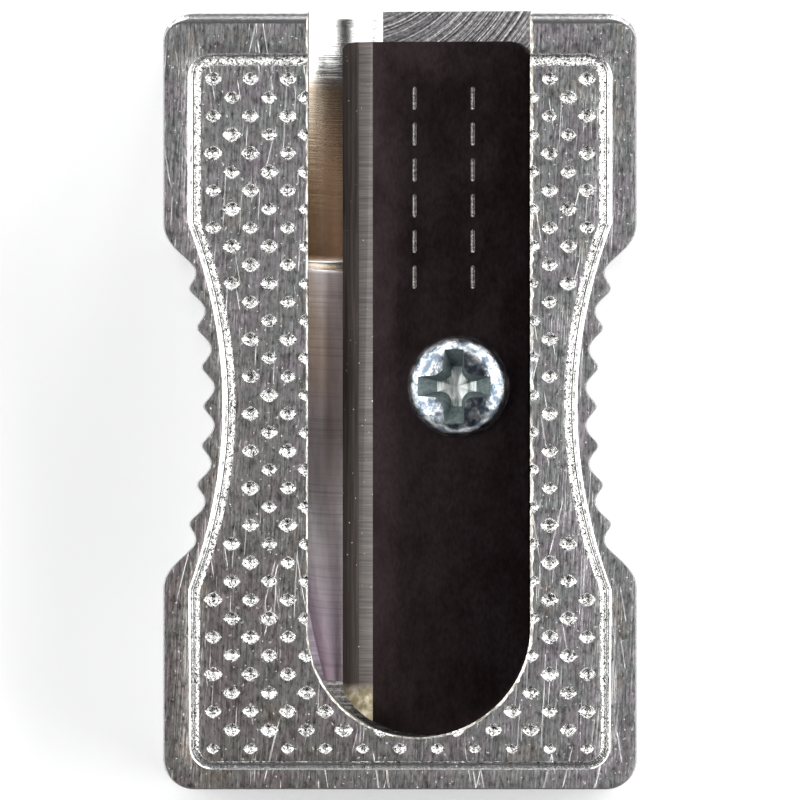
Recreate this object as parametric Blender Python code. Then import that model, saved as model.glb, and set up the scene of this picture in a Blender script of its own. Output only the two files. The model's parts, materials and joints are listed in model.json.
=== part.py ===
"""One-hole metal wedge pencil sharpener: a body, its blade and the screw that holds it.

Everything is modelled square to the deck, the body's dimpled top: x across, y towards the
pencil's mouth, z out of the deck. The empty "deck" tips that frame so that the underside,
which runs parallel to the pencil, is level. The empty "seat" lies on the cutting edge, in
the plane of the blade's seat. Lengths are in metres.
"""
import math

import bmesh
import bpy
from mathutils import Matrix, Vector

# Body block
LENGTH = 0.0250
WIDTH = 0.0152
CORNER_RADIUS = 0.0010
EDGE_BREAK = 0.0002

# Ribbed grip waist, the same on both sides
WAIST_CENTRE = -0.0002
WAIST_DEPTH = 0.00128
WAIST_RADIUS = 0.0155
RIBS = 7
RIB_PITCH = 0.00125
RIB_HEIGHT = 0.00035
RIB_ROUNDNESS = 1.4
SHOULDER_LENGTH = 0.0016

# Border groove, engraved round the deck
GROOVE_SIDE = 0.00660
GROOVE_FRONT = 0.01093
GROOVE_REAR = -0.01173
GROOVE_CORNER = 0.0006
GROOVE_WAIST_DEPTH = 0.00112
GROOVE_WIDTH = 0.00042
GROOVE_DEPTH = 0.00018

# Dimples, in staggered rows inside the border
DIMPLE_PITCH = 0.00120
DIMPLE_ROWS = 37
DIMPLE_ROW_STEP = 0.000597
DIMPLE_FRONT_ROW = 0.01030
DIMPLE_WIDTH = 0.00054
DIMPLE_LENGTH = 0.00050
DIMPLE_DEPTH = 0.00018
DIMPLE_MARGIN = 0.00050

# Pencil guide, one axis through the cone's point
CONE_HALF_ANGLE = math.radians(11.5)
CONE_POINT_Y = -0.0121
AXIS_HEIGHT = 0.00486
TIP_START = 0.00295
TIP_END = 0.00322
CONE_END = 0.01734
GUIDE_START = 0.01781
GUIDE_RADIUS = 0.0041
MOUTH_START = 0.02431
MOUTH_FLARE = math.radians(12)

# Blade, its seat and the pocket that they lie in
EDGE_X = -0.00184
SEAT_TILT = math.radians(10)
BLADE_WIDTH = 0.00617
BLADE_THICKNESS = 0.00060
BLADE_FRONT = 0.01152
BLADE_CORNER = 0.00065
BLADE_BELOW_DECK = 0.00025
HONED_WIDTH = 0.00060
HONED_HEIGHT = 0.00039
BEVEL_WIDTH = 0.00109
POCKET_LEFT = -0.00077
POCKET_CLEARANCE = 0.00007
POCKET_END_Y = -0.00732
CHIP_SLOT_RIGHT = 0.00131
CHIP_SLOT_REAR = -0.00905
CHIP_SLOT_FRONT_DEPTH = 0.0013
CHIP_SLOT_REAR_DEPTH = 0.0008
SEAT_GAP = 0.00003

# Screw, on the seat
SCREW_ACROSS = 0.00391
SCREW_Y = 0.00044
THREAD_PITCH = 0.0004
THREAD_RADIUS = 0.0010
THREAD_ROOT = 0.00076
THREAD_CLEARANCE = 0.00004
THREAD_LENGTH = 0.0041
HOLE_DEPTH = 0.0050
HEAD_RADIUS = 0.0016
HEAD_SIDE = 0.00055
HEAD_HEIGHT = 0.00105
BLADE_HOLE_RADIUS = 0.00115
RECESS_REACH = 0.00122
RECESS_HALF_WIDTH = 0.00034
RECESS_FLOOR_REACH = 0.00062
RECESS_FLOOR_HALF_WIDTH = 0.00020
RECESS_DEPTH = 0.00062

# Smoothness
ARC_STEPS = 5
RIB_STEPS = 6
END_ARC_STEPS = 20
ROUND_STEPS = 48
THREAD_SIDES = 16
ROWS_PER_PITCH = 4

# How far a cutter stands clear of the face that it cuts
CLEAR = 0.0010
SHALLOW_CLEAR = 0.00005

EDGE_DEPTH = (BLADE_WIDTH * math.sin(SEAT_TILT) + BLADE_THICKNESS * math.cos(SEAT_TILT)
              + BLADE_BELOW_DECK)
POCKET_RIGHT = BLADE_WIDTH + POCKET_CLEARANCE
POCKET_RADIUS = (POCKET_RIGHT - POCKET_LEFT) / 2
POCKET_MIDDLE = (POCKET_RIGHT + POCKET_LEFT) / 2
# Height above the seat where the pocket's left wall reaches the deck
LEFT_WALL_HEIGHT = (EDGE_DEPTH - POCKET_LEFT * math.sin(SEAT_TILT)) / math.cos(SEAT_TILT)


# ---------------------------------------------------------------- outlines and solids

def clear_scene():
    """Empty the scene."""
    for obj in list(bpy.data.objects):
        bpy.data.objects.remove(obj, do_unlink=True)


def arc(centre, radius, start, end, steps):
    """Points of a circle's arc between two angles in degrees, both ends included."""
    angles = [math.radians(start + (end - start) * i / steps) for i in range(steps + 1)]
    return [(centre[0] + radius * math.cos(a), centre[1] + radius * math.sin(a)) for a in angles]


def rounded_outline(half_width, stations, front, rear, radius):
    """Closed outline, anticlockwise, alike on both sides, with round corners."""
    corner = half_width(front) - radius
    right = arc((corner, rear + radius), radius, -90, 0, ARC_STEPS)
    right += [(half_width(y), y) for y in stations]
    right += arc((corner, front - radius), radius, 0, 90, ARC_STEPS)
    return right + [(-x, y) for x, y in reversed(right)]


def inset(outline, distance):
    """An anticlockwise outline moved inwards, each point along its own mitre."""
    moved = []
    for i, here in enumerate(outline):
        before = Vector(here) - Vector(outline[i - 1])
        after = Vector(outline[(i + 1) % len(outline)]) - Vector(here)
        first = Vector((-before.y, before.x)).normalized()
        second = Vector((-after.y, after.x)).normalized()
        mitre = (first + second) / (1 + first.dot(second))
        moved.append((here[0] + mitre.x * distance, here[1] + mitre.y * distance))
    return moved


def ring(outline, height):
    """An outline as 3-D points, at one height or at a height worked out from x and y."""
    if callable(height):
        return [(x, y, height(x, y)) for x, y in outline]
    return [(x, y, height) for x, y in outline]


def new_object(name, mesh_data, parent, place=(0, 0, 0)):
    """An object of a bmesh, under its parent, with its faces pointing out."""
    bmesh.ops.recalc_face_normals(mesh_data, faces=mesh_data.faces[:])
    mesh = bpy.data.meshes.new(name)
    mesh_data.to_mesh(mesh)
    mesh_data.free()
    obj = bpy.data.objects.new(name, mesh)
    bpy.context.collection.objects.link(obj)
    obj.parent = parent
    obj.location = place
    return obj


def loft(rings, closed=False):
    """A bmesh through equal rings, capped at both ends, or closed on itself."""
    solid = bmesh.new()
    loops = [[solid.verts.new(point) for point in points] for points in rings]
    pairs = list(zip(loops, loops[1:]))
    if closed:
        pairs.append((loops[-1], loops[0]))
    for low, high in pairs:
        for i, corner in enumerate(low):
            after = (i + 1) % len(low)
            solid.faces.new((corner, low[after], high[after], high[i]))
    if not closed:
        solid.faces.new(reversed(loops[0]))
        solid.faces.new(loops[-1])
    return solid


def turned(profile, sides):
    """A bmesh turned about z. The profile is (height, radius or function of the angle)."""
    rings = []
    for height, radius in profile:
        angles = [2 * math.pi * i / sides for i in range(sides)]
        radii = [radius(a) if callable(radius) else radius for a in angles]
        rings.append([(r * math.cos(a), r * math.sin(a), height) for a, r in zip(angles, radii)])
    return loft(rings)


def thread_rows(low, high, root, crest):
    """Profile rows of a right-hand thread, running out to the root at both ends."""
    rows = []
    count = round((high - low) / THREAD_PITCH * ROWS_PER_PITCH)
    for i in range(count + 1):
        height = low + (high - low) * i / count
        run_out = min(1, (height - low) / THREAD_PITCH, (high - height) / THREAD_PITCH)

        def radius(angle, height=height, run_out=run_out):
            turn = (height / THREAD_PITCH - angle / (2 * math.pi)) % 1
            return root + (crest - root) * (1 - abs(2 * turn - 1)) * run_out

        rows.append((height, radius))
    return rows


def material(name, colour, roughness, metallic=1.0):
    """A Principled material."""
    result = bpy.data.materials.new(name)
    result.use_nodes = True
    shader = result.node_tree.nodes["Principled BSDF"]
    shader.inputs["Base Color"].default_value = (*colour, 1)
    shader.inputs["Roughness"].default_value = roughness
    shader.inputs["Metallic"].default_value = metallic
    return result


def finish(obj, surface):
    """Give an object its material and smooth shading that keeps its edges."""
    obj.data.materials.append(surface)
    obj.data.shade_smooth()
    obj.data.set_sharp_from_angle(angle=math.radians(35))


def cut(obj, cutter):
    """Cut an object with another, which is hidden."""
    modifier = obj.modifiers.new(cutter.name, "BOOLEAN")
    modifier.operation = "DIFFERENCE"
    modifier.solver = "EXACT"
    modifier.object = cutter
    cutter.hide_render = True
    cutter.display_type = "WIRE"


# ---------------------------------------------------------------- body

def body_half_width(y):
    """Half the body's width: a shallow arc of upright ribs between two full-width ends."""
    along = abs(y - WAIST_CENTRE)
    ribbed = RIBS * RIB_PITCH / 2
    on_ribs = min(along, ribbed)
    rib = abs(math.sin(math.pi * on_ribs / RIB_PITCH)) ** RIB_ROUNDNESS
    depth = WAIST_DEPTH - on_ribs ** 2 / (2 * WAIST_RADIUS) + RIB_HEIGHT * rib
    shoulder = min((along - on_ribs) / SHOULDER_LENGTH, 1)
    return WIDTH / 2 - depth * (1 - shoulder ** 1.5) ** 3


def body_stations():
    """Places along the side where the body's outline has a point."""
    ribbed = RIBS * RIB_PITCH / 2
    ribs = [ribbed * (2 * i / (RIBS * RIB_STEPS) - 1) for i in range(RIBS * RIB_STEPS + 1)]
    shoulder = [ribbed + SHOULDER_LENGTH * (i + 1) / ARC_STEPS for i in range(ARC_STEPS)]
    along = [-s for s in reversed(shoulder)] + ribs + shoulder
    return [WAIST_CENTRE + s for s in along]


def groove_half_width(y):
    """Half the width inside the border groove, whose waist is one plain arc."""
    depth = GROOVE_WAIST_DEPTH - (y - WAIST_CENTRE) ** 2 / (2 * WAIST_RADIUS)
    return GROOVE_SIDE - max(depth, 0)


def groove_stations():
    """Places along the border groove where its outline has a point."""
    reach = math.sqrt(2 * WAIST_RADIUS * GROOVE_WAIST_DEPTH)
    return [WAIST_CENTRE + reach * (i / ARC_STEPS - 1) for i in range(2 * ARC_STEPS + 1)]


def underside(x, y):
    """Height of the underside, which runs parallel to the pencil's axis."""
    axis = -EDGE_DEPTH - (y - CONE_POINT_Y) * math.tan(CONE_HALF_ANGLE)
    return axis - AXIS_HEIGHT / math.cos(CONE_HALF_ANGLE)


def make_block(deck):
    """The plain block, ribbed at the waist, with its long edges broken."""
    outline = rounded_outline(body_half_width, body_stations(), LENGTH / 2, -LENGTH / 2,
                              CORNER_RADIUS)
    rim = inset(outline, EDGE_BREAK)
    rings = [
        ring(rim, underside),
        ring(outline, lambda x, y: underside(x, y) + EDGE_BREAK),
        ring(outline, -EDGE_BREAK),
        ring(rim, 0),
    ]
    return new_object("body", loft(rings), deck)


def groove_cutter(deck):
    """A V-shaped ring that engraves the border."""
    outline = rounded_outline(groove_half_width, groove_stations(), GROOVE_FRONT, GROOVE_REAR,
                              GROOVE_CORNER)
    half_width = GROOVE_WIDTH / 2 * (1 + SHALLOW_CLEAR / GROOVE_DEPTH)
    rings = [
        ring(inset(outline, -half_width), SHALLOW_CLEAR),
        ring(outline, -GROOVE_DEPTH),
        ring(inset(outline, half_width), SHALLOW_CLEAR),
    ]
    return new_object("groove_cutter", loft(rings, closed=True), deck)


def dimple_centres():
    """Centres of the dimples that stand clear of the border groove."""
    centres = []
    for row in range(DIMPLE_ROWS):
        y = DIMPLE_FRONT_ROW - row * DIMPLE_ROW_STEP
        shift = (row % 2) / 2
        reach = groove_half_width(y) - DIMPLE_MARGIN
        first = math.ceil(-reach / DIMPLE_PITCH - shift)
        last = math.floor(reach / DIMPLE_PITCH - shift)
        centres += [((column + shift) * DIMPLE_PITCH, y) for column in range(first, last + 1)]
    return centres


def dimple_cutter(deck):
    """Four-sided points that press the dimples, all in one cutter."""
    grown = 1 + SHALLOW_CLEAR / DIMPLE_DEPTH
    half_width = DIMPLE_WIDTH / 2 * grown
    half_length = DIMPLE_LENGTH / 2 * grown
    points = bmesh.new()
    for x, y in dimple_centres():
        base = [(x + half_width, y), (x, y + half_length), (x - half_width, y), (x, y - half_length)]
        corners = [points.verts.new(point) for point in ring(base, SHALLOW_CLEAR)]
        tip = points.verts.new((x, y, -DIMPLE_DEPTH))
        points.faces.new(corners)
        for i, corner in enumerate(corners):
            points.faces.new((corner, corners[i - 1], tip))
    return new_object("dimple_cutter", points, deck)


def pocket_left(height):
    """The pocket's left wall at a height above the seat. The wall is square to the deck."""
    return POCKET_LEFT + (height - LEFT_WALL_HEIGHT) * math.tan(SEAT_TILT)


def pocket_end(height, start, end, gap=0):
    """Part of the pocket's round end at a height above the seat, or a gap inside it."""
    middle = (POCKET_RIGHT + pocket_left(height)) / 2
    across = (POCKET_RIGHT - pocket_left(height)) / 2 - gap
    along = POCKET_RADIUS - gap
    unit_arc = arc((0, 0), 1, start, end, END_ARC_STEPS)
    return [(middle + x * across, POCKET_END_Y + y * along) for x, y in unit_arc]


def pocket_cutter(seat):
    """The blade's pocket: open at the front, round at the far end, its right wall square to it."""
    front = LENGTH / 2 + CLEAR
    rings = []
    for height in (0, EDGE_DEPTH + CLEAR):
        outline = [(POCKET_RIGHT, front), (pocket_left(height), front)]
        rings.append(ring(outline + pocket_end(height, 180, 360), height))
    return new_object("pocket_cutter", loft(rings), seat)


def chip_slot_outline(height):
    """The chip slot's outline at a height above the seat."""
    front = LENGTH / 2 + CLEAR
    wall = pocket_end(height, 180, 270, SEAT_GAP)
    outline = [(CHIP_SLOT_RIGHT, front), (wall[0][0], front)]
    outline += [point for point in wall if point[1] > CHIP_SLOT_REAR]
    return outline + [(outline[-1][0] + SEAT_GAP, CHIP_SLOT_REAR), (CHIP_SLOT_RIGHT, CHIP_SLOT_REAR)]


def chip_slot_cutter(seat):
    """The slot that lets shavings out past the cutting edge, deeper towards the mouth."""
    slope = (CHIP_SLOT_FRONT_DEPTH - CHIP_SLOT_REAR_DEPTH) / (LENGTH / 2 - CHIP_SLOT_REAR)

    def floor(x, y):
        return -CHIP_SLOT_REAR_DEPTH - (y - CHIP_SLOT_REAR) * slope

    low = ring(chip_slot_outline(-CHIP_SLOT_FRONT_DEPTH), floor)
    high = ring(chip_slot_outline(BLADE_THICKNESS), BLADE_THICKNESS)
    return new_object("chip_slot_cutter", loft([low, high]), seat)


def guide_cutter(deck):
    """The pencil's guide: point, cone, drilled step, parallel bore and flared mouth."""
    mouth_end = MOUTH_START + LENGTH / 4
    profile = [
        (TIP_START, SHALLOW_CLEAR),
        (TIP_END, TIP_END * math.tan(CONE_HALF_ANGLE)),
        (CONE_END, CONE_END * math.tan(CONE_HALF_ANGLE)),
        (GUIDE_START, GUIDE_RADIUS),
        (MOUTH_START, GUIDE_RADIUS),
        (mouth_end, GUIDE_RADIUS + (mouth_end - MOUTH_START) * math.tan(MOUTH_FLARE)),
    ]
    cutter = new_object("guide_cutter", turned(profile, ROUND_STEPS), deck,
                        (EDGE_X, CONE_POINT_Y, -EDGE_DEPTH))
    cutter.rotation_euler = (-math.pi / 2 - CONE_HALF_ANGLE, 0, 0)
    return cutter


def screw_hole_cutter(seat):
    """The tapped hole, with the screw's own thread and a little clearance."""
    crest = THREAD_RADIUS + THREAD_CLEARANCE
    root = THREAD_ROOT + THREAD_CLEARANCE
    low = -THREAD_LENGTH - THREAD_PITCH / 2
    profile = [(-HOLE_DEPTH, root / 2), (-HOLE_DEPTH + root / 2, root)]
    profile += thread_rows(low, CLEAR / 2, root, crest)
    profile += [(CLEAR, root)]
    return new_object("screw_hole_cutter", turned(profile, THREAD_SIDES), seat,
                      (SCREW_ACROSS, SCREW_Y, 0))


def make_body(deck, seat):
    """The metal body with everything that is cut into it."""
    body = make_block(deck)
    finish(body, material("cast_metal", (0.46, 0.45, 0.45), 0.38))
    cut(body, groove_cutter(deck))
    cut(body, dimple_cutter(deck))
    cut(body, pocket_cutter(seat))
    cut(body, chip_slot_cutter(seat))
    cut(body, guide_cutter(deck))
    cut(body, screw_hole_cutter(seat))
    return body


# ---------------------------------------------------------------- blade

def blade_outline(left):
    """The blade's outline about the screw: round far end, one rounded front corner."""
    radius = POCKET_RADIUS - POCKET_CLEARANCE
    start = math.degrees(math.acos((left - POCKET_MIDDLE) / radius))
    end_arc = arc((POCKET_MIDDLE, POCKET_END_Y), radius, 360 - start, 360, END_ARC_STEPS)
    corner = arc((BLADE_WIDTH - BLADE_CORNER, BLADE_FRONT - BLADE_CORNER), BLADE_CORNER, 0, 90,
                 ARC_STEPS)
    outline = end_arc + corner + [(left, BLADE_FRONT)]
    return [(x - SCREW_ACROSS, y - SCREW_Y) for x, y in outline]


def bevel_cutter(seat):
    """The wedge that grinds the two facets of the cutting edge."""
    past = BLADE_THICKNESS
    honed_slope = HONED_HEIGHT / HONED_WIDTH
    ground_slope = (BLADE_THICKNESS - HONED_HEIGHT) / (BEVEL_WIDTH - HONED_WIDTH)
    section = [
        (-past, -past * honed_slope),
        (HONED_WIDTH, HONED_HEIGHT),
        (BEVEL_WIDTH + past, BLADE_THICKNESS + past * ground_slope),
        (-past, 3 * past),
    ]
    rings = [[(x, y, z + SEAT_GAP) for x, z in section] for y in (-LENGTH, LENGTH)]
    return new_object("bevel_cutter", loft(rings), seat)


def blade_hole_cutter(seat):
    """The screw's clearance hole."""
    profile = [(-CLEAR, BLADE_HOLE_RADIUS), (BLADE_THICKNESS + CLEAR, BLADE_HOLE_RADIUS)]
    return new_object("blade_hole_cutter", turned(profile, ROUND_STEPS), seat,
                      (SCREW_ACROSS, SCREW_Y, 0))


def make_blade(seat):
    """The flat blade, its origin on the screw's axis."""
    outline = blade_outline(-BLADE_THICKNESS / 2)
    rings = [ring(outline, SEAT_GAP), ring(outline, SEAT_GAP + BLADE_THICKNESS)]
    blade = new_object("blade", loft(rings), seat, (SCREW_ACROSS, SCREW_Y, 0))
    finish(blade, material("blued_steel", (0.035, 0.030, 0.032), 0.32))
    cut(blade, bevel_cutter(seat))
    cut(blade, blade_hole_cutter(seat))
    return blade


# ---------------------------------------------------------------- screw

def cross(reach, half_width):
    """The outline of a cross, anticlockwise."""
    arm = [(half_width, half_width), (half_width, reach), (-half_width, reach)]
    points = []
    for quarter in range(4):
        turn = Matrix.Rotation(quarter * math.pi / 2, 2)
        points += [tuple(turn @ Vector(point)) for point in arm]
    return points


def recess_cutter(seat, head_top):
    """The tapered cross recess in the screw's head."""
    widening = CLEAR / RECESS_DEPTH
    top_reach = RECESS_REACH + (RECESS_REACH - RECESS_FLOOR_REACH) * widening
    top_half_width = RECESS_HALF_WIDTH + (RECESS_HALF_WIDTH - RECESS_FLOOR_HALF_WIDTH) * widening
    rings = [
        ring(cross(RECESS_FLOOR_REACH, RECESS_FLOOR_HALF_WIDTH), head_top - RECESS_DEPTH),
        ring(cross(top_reach, top_half_width), head_top + CLEAR),
    ]
    return new_object("recess_cutter", loft(rings), seat, (SCREW_ACROSS, SCREW_Y, 0))


def make_screw(seat):
    """The pan-head screw, its origin on its own axis at the seat."""
    under_head = BLADE_THICKNESS + 2 * SEAT_GAP
    profile = [(-THREAD_LENGTH - THREAD_PITCH / 2, THREAD_ROOT / 2)]
    profile += thread_rows(-THREAD_LENGTH, THREAD_PITCH / 2, THREAD_ROOT, THREAD_RADIUS)
    profile += [(under_head, THREAD_ROOT), (under_head, HEAD_RADIUS)]
    dome = HEAD_HEIGHT - HEAD_SIDE
    for i in range(ARC_STEPS + 1):
        angle = math.pi / 2 * i / (ARC_STEPS + 1)
        height = under_head + HEAD_SIDE + dome * math.sin(angle)
        profile.append((height, HEAD_RADIUS * math.cos(angle) ** 0.5))
    screw = new_object("screw", turned(profile, THREAD_SIDES * 2), seat, (SCREW_ACROSS, SCREW_Y, 0))
    finish(screw, material("plated_steel", (0.72, 0.73, 0.74), 0.22))
    cut(screw, recess_cutter(seat, under_head + HEAD_HEIGHT))
    return screw


# ---------------------------------------------------------------- assembly

def empty(name, parent=None):
    """An empty, under its parent."""
    result = bpy.data.objects.new(name, None)
    bpy.context.collection.objects.link(result)
    result.parent = parent
    return result


def make_frames():
    """The deck's frame, tipped so that the underside is level, and the seat's frame on it."""
    deck = empty("deck")
    tip = Matrix.Rotation(CONE_HALF_ANGLE, 4, "X")
    corners = [tip @ Vector((0, y, z))
               for y in (-LENGTH / 2, LENGTH / 2) for z in (0, underside(0, y))]
    lowest = min(corner.z for corner in corners)
    middle = (min(corner.y for corner in corners) + max(corner.y for corner in corners)) / 2
    deck.location = (0, -middle, -lowest)
    deck.rotation_euler = (CONE_HALF_ANGLE, 0, 0)
    seat = empty("seat", deck)
    seat.location = (EDGE_X, 0, -EDGE_DEPTH)
    seat.rotation_euler = (0, -SEAT_TILT, 0)
    return deck, seat


def main():
    """Build the sharpener."""
    clear_scene()
    deck, seat = make_frames()
    make_body(deck, seat)
    make_blade(seat)
    make_screw(seat)
    bpy.context.view_layer.update()


main()
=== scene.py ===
"""The looks of a one-hole metal wedge pencil sharpener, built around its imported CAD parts.

Shapes are modelled in millimetres in three frames. "Deck" is the body's dimpled top: x across,
y towards the pencil's mouth, z out of the deck. "Seat" lies on the cutting edge, in the plane
that the blade rests on. "Axis" is the screw's, at the seat. The body is one closed mesh with
its groove and dimples modelled into it, and the pocket, slot, guide and hole cut out of it.
"""

import json
import math
import random

import bmesh
import bpy
import numpy as np
from mathutils import Matrix, Vector
from mathutils.geometry import delaunay_2d_cdt


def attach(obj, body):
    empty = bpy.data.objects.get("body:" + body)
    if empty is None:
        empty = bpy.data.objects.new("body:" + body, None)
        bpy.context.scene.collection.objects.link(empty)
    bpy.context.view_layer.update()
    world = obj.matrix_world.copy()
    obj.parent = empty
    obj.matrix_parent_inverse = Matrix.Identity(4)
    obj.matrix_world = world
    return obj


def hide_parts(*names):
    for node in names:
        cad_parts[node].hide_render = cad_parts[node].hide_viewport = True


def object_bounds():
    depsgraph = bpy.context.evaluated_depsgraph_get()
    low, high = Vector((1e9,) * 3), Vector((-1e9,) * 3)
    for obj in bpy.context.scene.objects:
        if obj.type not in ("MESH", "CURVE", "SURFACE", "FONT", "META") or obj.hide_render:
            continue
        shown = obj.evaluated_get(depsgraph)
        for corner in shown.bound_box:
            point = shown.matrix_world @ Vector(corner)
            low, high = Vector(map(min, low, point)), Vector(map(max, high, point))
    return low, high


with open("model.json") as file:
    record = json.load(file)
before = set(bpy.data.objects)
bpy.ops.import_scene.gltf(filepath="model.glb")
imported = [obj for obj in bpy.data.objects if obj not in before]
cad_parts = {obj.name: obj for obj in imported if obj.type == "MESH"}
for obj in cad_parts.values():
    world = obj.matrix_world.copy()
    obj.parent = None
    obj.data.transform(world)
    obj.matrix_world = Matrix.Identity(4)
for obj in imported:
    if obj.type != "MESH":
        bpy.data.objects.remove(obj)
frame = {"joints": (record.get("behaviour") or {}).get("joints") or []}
cad_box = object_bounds()

MM = 0.001

# Body block
LENGTH = 25.0
WIDTH = 15.2
CORNER_RADIUS = 1.0
SIDE_EDGE = 0.05
FRONT_EDGE = 0.42
UNDER_EDGE = 0.16

# Ribbed grip waist, the same on both sides
WAIST_CENTRE = -0.2
WAIST_DEPTH = 1.28
WAIST_RADIUS = 15.5
RIBS = 7
RIB_PITCH = 1.25
RIB_HEIGHT = 0.35
RIB_SOFTNESS = 0.35
RIBBED_REACH = RIBS * RIB_PITCH / 2
SHOULDER_LENGTH = 1.6

# Border groove
GROOVE_SIDE = 6.60
GROOVE_FRONT = 10.93
GROOVE_REAR = -11.73
GROOVE_CORNER = 0.6
GROOVE_WAIST_DEPTH = 1.12
GROOVE_REAR_WIDTH = 0.28
GROOVE_WIDTH = 0.43
GROOVE_TAPER_LENGTH = 8
GROOVE_DEPTH = 0.13
GROOVE_STEP = 0.045
GROOVE_LEAN = 0.22
TOOTH_LENGTH = 0.09
TOOTH_HEIGHT = 0.065
# Across the groove, outer edge first: share of its width, share of its depth, share of a tooth
GROOVE_SECTION = ((0.50, 0.0, 0.0), (0.45, 0.06, 0.0), (0.30, 0.50, 0.0), (0.16, 0.93, 0.0),
                  (0.11, 1.0, 0.0), (0.02, 1.0, 0.0), (-0.04, 0.92, 0.4), (-0.13, 0.74, 1.0),
                  (-0.23, 0.52, 1.0), (-0.34, 0.28, 0.8), (-0.44, 0.06, 0.1), (-0.50, 0.0, 0.0))
# How many of those strips, from the outer edge, are pressed smooth
GROOVE_SMOOTH_ROWS = 5

# Dimples, in staggered rows inside the border
DIMPLE_PITCH = 1.20
DIMPLE_ROWS = 37
DIMPLE_ROW_STEP = 0.597
DIMPLE_FRONT_ROW = 10.30
DIMPLE_HALF_WIDTH = 0.25
DIMPLE_HALF_LENGTH = 0.20
DIMPLE_DEPTH = 0.15
DIMPLE_MARGIN = 0.50
DIMPLE_SIDES = 16
DIMPLE_SQUARENESS = 1.4
REAR_DIMPLE_SIZE = 0.78
# Each ring of a dimple: its share of the dimple's size, and of its depth
DIMPLE_PROFILE = ((1.20, 0.0), (1.06, -0.05), (0.93, 0.10), (0.70, 0.42), (0.44, 0.70),
                  (0.20, 0.92))

# Pencil guide, one axis through the cone's point
CONE_HALF_ANGLE = math.radians(11.5)
CONE_POINT_Y = -12.1
TIP_START = 2.95
TIP_RADIUS = 0.05
TIP_END = 3.22
CONE_END = 17.34
GUIDE_START = 17.81
GUIDE_RADIUS = 4.1
MOUTH_START = 24.31
MOUTH_FLARE = math.radians(12)
MOUTH_ROUNDING = 0.9
AXIS_HEIGHT = 4.86
TOOL_MARK_STEP = 0.16
TOOL_MARK_HEIGHT = 0.002

# Blade, its seat and the pocket that they lie in
EDGE_X = -1.84
SEAT_TILT = math.radians(10)
BLADE_WIDTH = 6.17
BLADE_THICKNESS = 0.60
BLADE_FRONT = 11.52
BLADE_CORNER = 0.65
BLADE_BELOW_DECK = 0.25
BLADE_EDGE = 0.03
BLADE_TIP_CORNER = 0.5
HONED_WIDTH = 0.60
HONED_HEIGHT = 0.39
BEVEL_WIDTH = 1.09
POCKET_LEFT = -0.77
POCKET_CLEARANCE = 0.07
POCKET_END_Y = -7.32
POCKET_LEFT_BREAK = 0.05
POCKET_RIGHT_BREAK = 0.07
POCKET_NICK = 0.06
POCKET_STEP = 0.12
CHIP_SLOT_RIGHT = 1.31
CHIP_SLOT_REAR = -9.05
CHIP_SLOT_FRONT_DEPTH = 1.3
CHIP_SLOT_REAR_DEPTH = 0.8
SEAT_GAP = 0.03
# Centre of the milling cutter's arcs on the seat
SWEEP_CENTRE = (-1.6, 15.7, 0)

# Along the blade, where the straw tint of its facets begins
STRAW_FROM = -9.1

# Plain dashes engraved on the blade: two columns, across the blade and along it
DASH_COLUMNS = (2.45, 4.35)
DASH_FRONT = 9.7
DASH_COUNT = 6
DASH_PITCH = 1.15
DASH_LENGTH = 0.75
DASH_WIDTH = 0.13
DASH_DEPTH = 0.05

# Screw
SCREW_ACROSS = 3.91
SCREW_Y = 0.44
THREAD_PITCH = 0.4
THREAD_RADIUS = 1.0
THREAD_ROOT = 0.76
THREAD_CLEARANCE = 0.04
THREAD_LENGTH = 4.1
HOLE_DEPTH = 5.0
HEAD_RADIUS = 1.65
HEAD_TAPER = 0.05
HEAD_SIDE = 0.40
HEAD_HEIGHT = 1.05
HEAD_FOOT = 0.06
HEAD_FULLNESS = 0.55
BLADE_HOLE_RADIUS = 1.15
RECESS_REACH = 1.33
RECESS_HALF_WIDTH = 0.35
RECESS_CORNER = 0.32
RECESS_FLOOR_REACH = 0.64
RECESS_FLOOR_HALF_WIDTH = 0.17
RECESS_FLOOR_CORNER = 0.34
RECESS_DEPTH = 0.62
RECESS_FLOOR_DIP = 0.12

# How far a cutter stands clear of the face that it cuts
CLEAR = 1.0

EDGE_DEPTH = (BLADE_WIDTH * math.sin(SEAT_TILT) + BLADE_THICKNESS * math.cos(SEAT_TILT)
              + BLADE_BELOW_DECK)
POCKET_RIGHT = BLADE_WIDTH + POCKET_CLEARANCE
POCKET_RADIUS = (POCKET_RIGHT - POCKET_LEFT) / 2
POCKET_MIDDLE = (POCKET_RIGHT + POCKET_LEFT) / 2
# Height above the seat where the pocket's left wall reaches the deck
LEFT_WALL_HEIGHT = (EDGE_DEPTH - POCKET_LEFT * math.sin(SEAT_TILT)) / math.cos(SEAT_TILT)
UNDER_HEAD = BLADE_THICKNESS + 2 * SEAT_GAP

SEAT_IN_DECK = Matrix.Translation((EDGE_X, 0, -EDGE_DEPTH)) @ Matrix.Rotation(-SEAT_TILT, 4, "Y")
AXIS_IN_SEAT = Matrix.Translation((SCREW_ACROSS, SCREW_Y, 0))


def deck_frame():
    """The deck's frame, in millimetres, with the screw's seat where its joint is."""
    joint = next(j for j in frame["joints"] if j["name"] == "screw_turn")
    tipped = Matrix.Rotation(CONE_HALF_ANGLE, 4, "X") @ Matrix.Scale(MM, 4)
    seat_point = (tipped @ SEAT_IN_DECK @ AXIS_IN_SEAT).translation
    return Matrix.Translation(Vector(joint["pos_m"]) - seat_point) @ tipped


DECK = deck_frame()
SEAT = DECK @ SEAT_IN_DECK
AXIS = SEAT @ AXIS_IN_SEAT


# ---- building meshes

def linked(name, data):
    """A new object in the scene."""
    result = bpy.data.objects.new(name, data)
    bpy.context.scene.collection.objects.link(result)
    return result


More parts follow.
